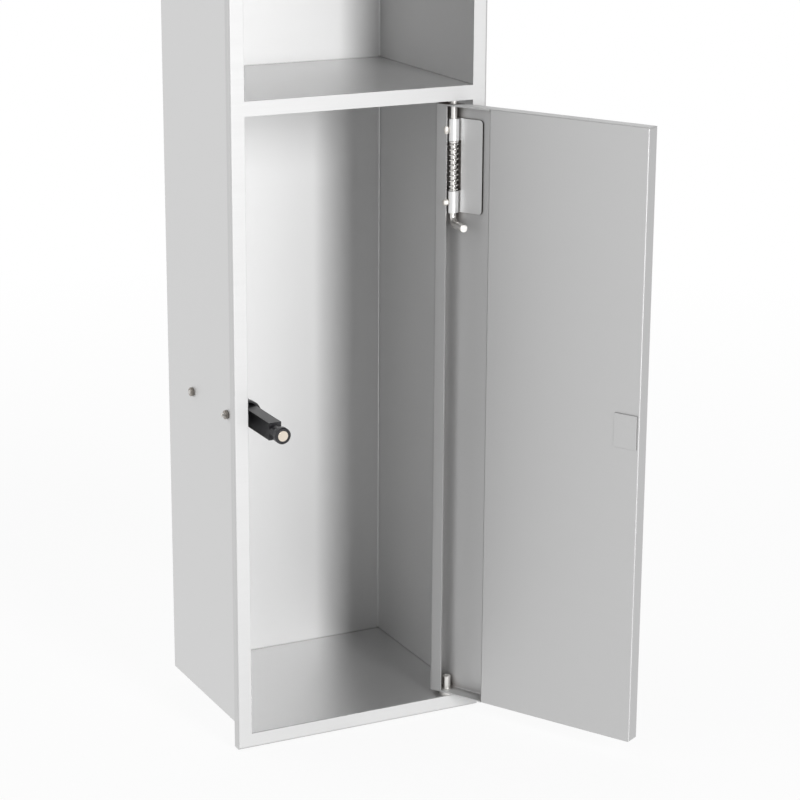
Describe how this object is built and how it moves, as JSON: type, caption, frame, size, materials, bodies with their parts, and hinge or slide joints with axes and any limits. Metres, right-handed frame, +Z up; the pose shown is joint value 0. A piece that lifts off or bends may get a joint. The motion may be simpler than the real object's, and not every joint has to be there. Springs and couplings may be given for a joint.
{
  "type": "recessed toilet paper holder",
  "caption": "Recessed stainless steel unit with a roll niche over a compartment whose hollow door turns on a spring bolt and a floor pin and is held by a push latch.",
  "frame": {"origin": "the wall surface behind the frame's folded rim, at the middle of the frame's lower outer edge", "axes": "+X to the right seen from the room, +Y into the wall, +Z up"},
  "size_m": [0.2193, 0.2472, 0.619],
  "materials": {
    "frame_steel": "fine horizontal brushed grain, satin",
    "housing_steel": "mill finish sheet, satin",
    "door_steel": "fine vertical brushed grain, satin",
    "leaf_steel": "plain sheet, satin",
    "turned_steel": "turned, semi-bright",
    "tube_steel": "polished",
    "spring_steel": "drawn wire, bright",
    "screw_steel": "plain stainless fastener",
    "weld_steel": "as welded, rough",
    "latch_plastic": "moulded, fine satin",
    "magnet": "nickel plated, slightly warm"
  },
  "bodies": {
    "cabinet": {"front_frame": "frame_steel", "housing_wrap": "housing_steel", "floor_panel": "housing_steel", "top_panel": "housing_steel", "divider_shelf": "housing_steel", "upper_bush": "turned_steel", "lower_pivot_pin": "turned_steel", "latch_base": "latch_plastic", "latch_housing": "latch_plastic", "latch_collar": "latch_plastic", "latch_end_cap": "latch_plastic", "latch_screws": "screw_steel", "latch_nuts": "screw_steel", "latch_spring": "spring_steel", "socket_left": "turned_steel", "socket_right": "turned_steel"},
    "plunger": {"latch_plunger": "latch_plastic", "latch_tip": "latch_plastic", "latch_magnet": "magnet"},
    "door": {"door_pan": "door_steel", "door_cover": "door_steel", "striker_plate": "door_steel", "bolt_leaf": "leaf_steel", "weld_beads": "weld_steel", "lower_pivot_bush": "turned_steel", "bolt_spring": "spring_steel"},
    "bolt": {"spring_bolt": "turned_steel", "bolt_clip": "turned_steel"},
    "roller_outer": {"roller_outer_tube": "tube_steel", "roller_spring": "spring_steel"},
    "roller_inner": {"roller_inner_tube": "tube_steel"}
  },
  "joints": [
    {"name": "door_hinge", "type": "hinge", "parent": "cabinet", "child": "door", "pos_m": [0.0642, -0.00009, 0], "axis": [0, 0, 1], "range_deg": [-119, 0]},
    {"name": "bolt_slide", "type": "slide", "parent": "door", "child": "bolt", "axis": [0, 0, -1], "range_m": [0, 0.0086], "stiffness_N_per_m": 700, "springref_m": -0.008, "deforming": ["bolt_spring"]},
    {"name": "latch_push", "type": "slide", "parent": "cabinet", "child": "plunger", "axis": [0, 1, 0], "range_m": [0, 0.03835], "deforming": ["latch_spring"]},
    {"name": "roller_spin", "type": "hinge", "parent": "cabinet", "child": "roller_outer", "pos_m": [0, 0.055, 0.5055], "axis": [1, 0, 0], "continuous": true},
    {"name": "roller_push", "type": "slide", "parent": "roller_outer", "child": "roller_inner", "axis": [-1, 0, 0], "range_m": [0, 0.008], "stiffness_N_per_m": 300, "springref_m": -0.012, "deforming": ["roller_spring"]}
  ],
  "couplings": [
    {"joint": "latch_push", "follows": "door_hinge", "m_per_rad": -0.018465}
  ]
}
